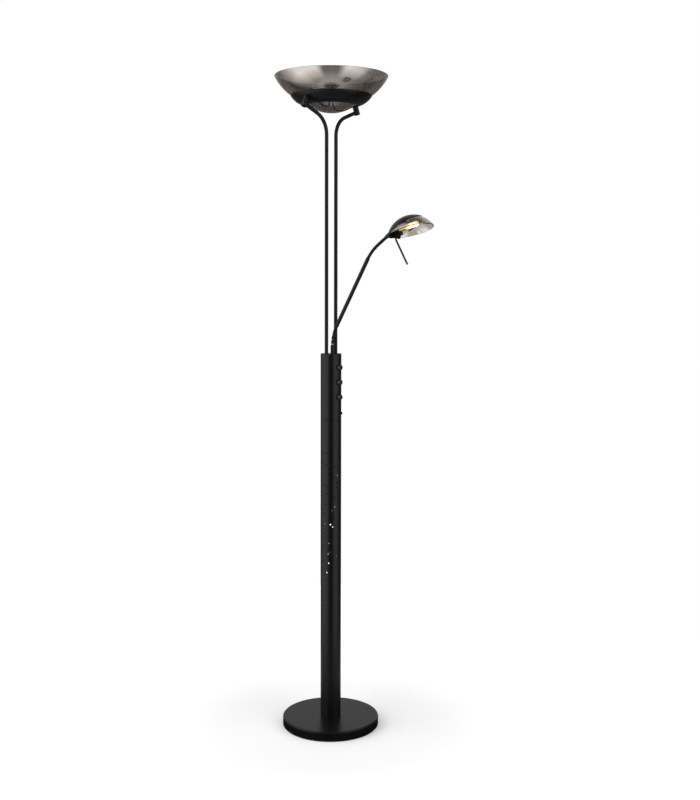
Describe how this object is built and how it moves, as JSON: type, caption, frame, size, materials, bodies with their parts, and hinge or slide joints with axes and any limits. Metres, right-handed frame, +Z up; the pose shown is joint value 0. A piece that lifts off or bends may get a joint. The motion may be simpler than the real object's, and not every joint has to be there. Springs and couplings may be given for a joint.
{
  "type": "torchiere floor lamp with reading light",
  "caption": "Floor lamp with a glass uplighter bowl on two tubes, a flexible reading arm with a small glass head, dimmer knobs and a pierced column on a round base.",
  "frame": {"origin": "centre of the base pad's underside, on the column's axis", "axes": "+Z up along the column; -Y is the front, where the knobs and the reading arm are; +X and -X hold the uplighter's two tubes"},
  "size_m": [0.306, 0.4903, 1.8],
  "materials": {
    "black_powder": "satin black powder coat",
    "black_iron": "raw casting, painted black",
    "black_felt": "pressed felt",
    "black_rubber": "moulded rubber",
    "zinc_steel": "zinc plated",
    "black_knob": "satin moulded black plastic",
    "black_plastic": "moulded black plastic",
    "board_green": "printed circuit laminate",
    "dimmer_case": "stamped steel case",
    "white_plastic": "white plastic",
    "opal_plastic": "opal diffuser, lit",
    "smoked_glass": "smoked grey-brown mirror glass, polished",
    "clear_glass": "clear quartz glass",
    "frosted_glass": "frosted bulb glass, lit",
    "white_ceramic": "glazed lamp socket ceramic",
    "socket_brass": "drawn brass sleeve round the bulb's socket",
    "black_chrome": "dark plated"
  },
  "bodies": {
    "stand": {"base_pad": "black_felt", "base_cover": "black_powder", "base_weight": "black_iron", "base_spacer": "zinc_steel", "column_foot": "zinc_steel", "base_screws": "zinc_steel", "cable_gland": "black_rubber", "column_lower": "black_powder", "joint_sleeve": "black_powder", "column_upper": "black_powder", "lock_screw": "black_chrome", "column_cap": "black_powder", "cap_nuts": "zinc_steel", "dimmer_board": "board_green", "dimmers": "dimmer_case", "driver_box": "white_plastic", "light_tube": "opal_plastic", "tube_carriers": "white_plastic", "led_strip": "board_green", "uplight_bowl": "smoked_glass", "uplight_dish": "black_powder", "glass_spacers": "black_rubber", "bridge_screws": "zinc_steel", "bracket_right": "black_powder", "bracket_left": "black_powder", "uplight_tube_right": "black_powder", "uplight_tube_left": "black_powder", "lamp_bridge": "zinc_steel", "lamp_socket_right": "white_ceramic", "lamp_socket_left": "white_ceramic", "uplight_lamp": "clear_glass", "arm_nipple": "zinc_steel"},
    "arm_base": {"arm_ferrule": "black_powder"},
    "knob_turner_1": {"knob_1": "black_knob"},
    "knob_turner_2": {"knob_2": "black_knob"},
    "knob_turner_3": {"knob_3": "black_knob"},
    "lower_bead_1": {"lower_flex_1": "black_powder"},
    "lower_bead_2": {"lower_flex_2": "black_powder"},
    "lower_bead_3": {"lower_flex_3": "black_powder"},
    "lower_bead_4": {"lower_flex_4": "black_powder"},
    "arm_rod": {"arm_tube": "black_powder"},
    "upper_bead_1": {"upper_flex_1": "black_powder"},
    "upper_bead_2": {"upper_flex_2": "black_powder"},
    "upper_bead_3": {"upper_flex_3": "black_powder"},
    "upper_bead_4": {"upper_flex_4": "black_powder"},
    "upper_bead_5": {"upper_flex_5": "black_powder"},
    "upper_bead_6": {"upper_flex_6": "black_powder"},
    "flex_tip": {"flex_end": "black_powder"},
    "head": {"head_neck": "black_powder", "head_shell": "black_powder", "head_glass": "smoked_glass", "glass_screw": "black_chrome", "neck_washer": "black_rubber", "holder_block": "black_powder", "handle_rod": "black_powder", "handle_tip": "black_plastic", "bulb_socket": "socket_brass", "reading_bulb": "frosted_glass"}
  },
  "joints": [
    {"name": "knob_1_turn", "type": "hinge", "parent": "stand", "child": "knob_turner_1", "pos_m": [0, -0.033, 1.0172], "axis": [0, -1, 0], "range_deg": [-135, 135]},
    {"name": "knob_2_turn", "type": "hinge", "parent": "stand", "child": "knob_turner_2", "pos_m": [0, -0.033, 0.9764], "axis": [0, -1, 0], "range_deg": [-135, 135]},
    {"name": "knob_3_turn", "type": "hinge", "parent": "stand", "child": "knob_turner_3", "pos_m": [0, -0.033, 0.9356], "axis": [0, -1, 0], "range_deg": [-135, 135]},
    {"name": "arm_swivel", "type": "hinge", "parent": "stand", "child": "arm_base", "pos_m": [0, -0.006, 1.066], "axis": [0, 0, 1], "range_deg": [-60, 60]},
    {"name": "lower_bend_1", "type": "hinge", "parent": "arm_base", "child": "lower_bead_1", "pos_m": [0, -0.006, 1.0798], "axis": [1, 0, 0], "range_deg": [-4, 7.5]},
    {"name": "lower_bend_2", "type": "hinge", "parent": "lower_bead_1", "child": "lower_bead_2", "pos_m": [0, -0.00738, 1.09222], "axis": [1, 0, 0], "range_deg": [-4, 7.5]},
    {"name": "lower_bend_3", "type": "hinge", "parent": "lower_bead_2", "child": "lower_bead_3", "pos_m": [0, -0.01012, 1.10442], "axis": [1, 0, 0], "range_deg": [-4, 7.5]},
    {"name": "lower_bend_4", "type": "hinge", "parent": "lower_bead_3", "child": "lower_bead_4", "pos_m": [0, -0.0142, 1.11624], "axis": [1, 0, 0], "range_deg": [-4, 7.5]},
    {"name": "lower_bend_5", "type": "hinge", "parent": "lower_bead_4", "child": "arm_rod", "pos_m": [0, -0.01955, 1.12753], "axis": [1, 0, 0], "range_deg": [-4, 7.5]},
    {"name": "upper_bend_1", "type": "hinge", "parent": "arm_rod", "child": "upper_bead_1", "pos_m": [0, -0.13463, 1.31386], "axis": [1, 0, 0], "range_deg": [-3.5, 8]},
    {"name": "upper_bend_2", "type": "hinge", "parent": "upper_bead_1", "child": "upper_bead_2", "pos_m": [0, -0.1427, 1.3243], "axis": [1, 0, 0], "range_deg": [-3.5, 8]},
    {"name": "upper_bend_3", "type": "hinge", "parent": "upper_bead_2", "child": "upper_bead_3", "pos_m": [0, -0.15182, 1.33385], "axis": [1, 0, 0], "range_deg": [-3.5, 8]},
    {"name": "upper_bend_4", "type": "hinge", "parent": "upper_bead_3", "child": "upper_bead_4", "pos_m": [0, -0.16189, 1.34238], "axis": [1, 0, 0], "range_deg": [-3.5, 8]},
    {"name": "upper_bend_5", "type": "hinge", "parent": "upper_bead_4", "child": "upper_bead_5", "pos_m": [0, -0.17279, 1.34982], "axis": [1, 0, 0], "range_deg": [-3.5, 8]},
    {"name": "upper_bend_6", "type": "hinge", "parent": "upper_bead_5", "child": "upper_bead_6", "pos_m": [0, -0.1837, 1.35726], "axis": [1, 0, 0], "range_deg": [-3.5, 8]},
    {"name": "upper_bend_7", "type": "hinge", "parent": "upper_bead_6", "child": "flex_tip", "pos_m": [0, -0.1946, 1.3647], "axis": [1, 0, 0], "range_deg": [-3.5, 8]},
    {"name": "head_turn", "type": "hinge", "parent": "flex_tip", "child": "head", "pos_m": [0, -0.20617, 1.37259], "axis": [0, -0.8261, 0.5635], "range_deg": [-60, 60]}
  ]
}
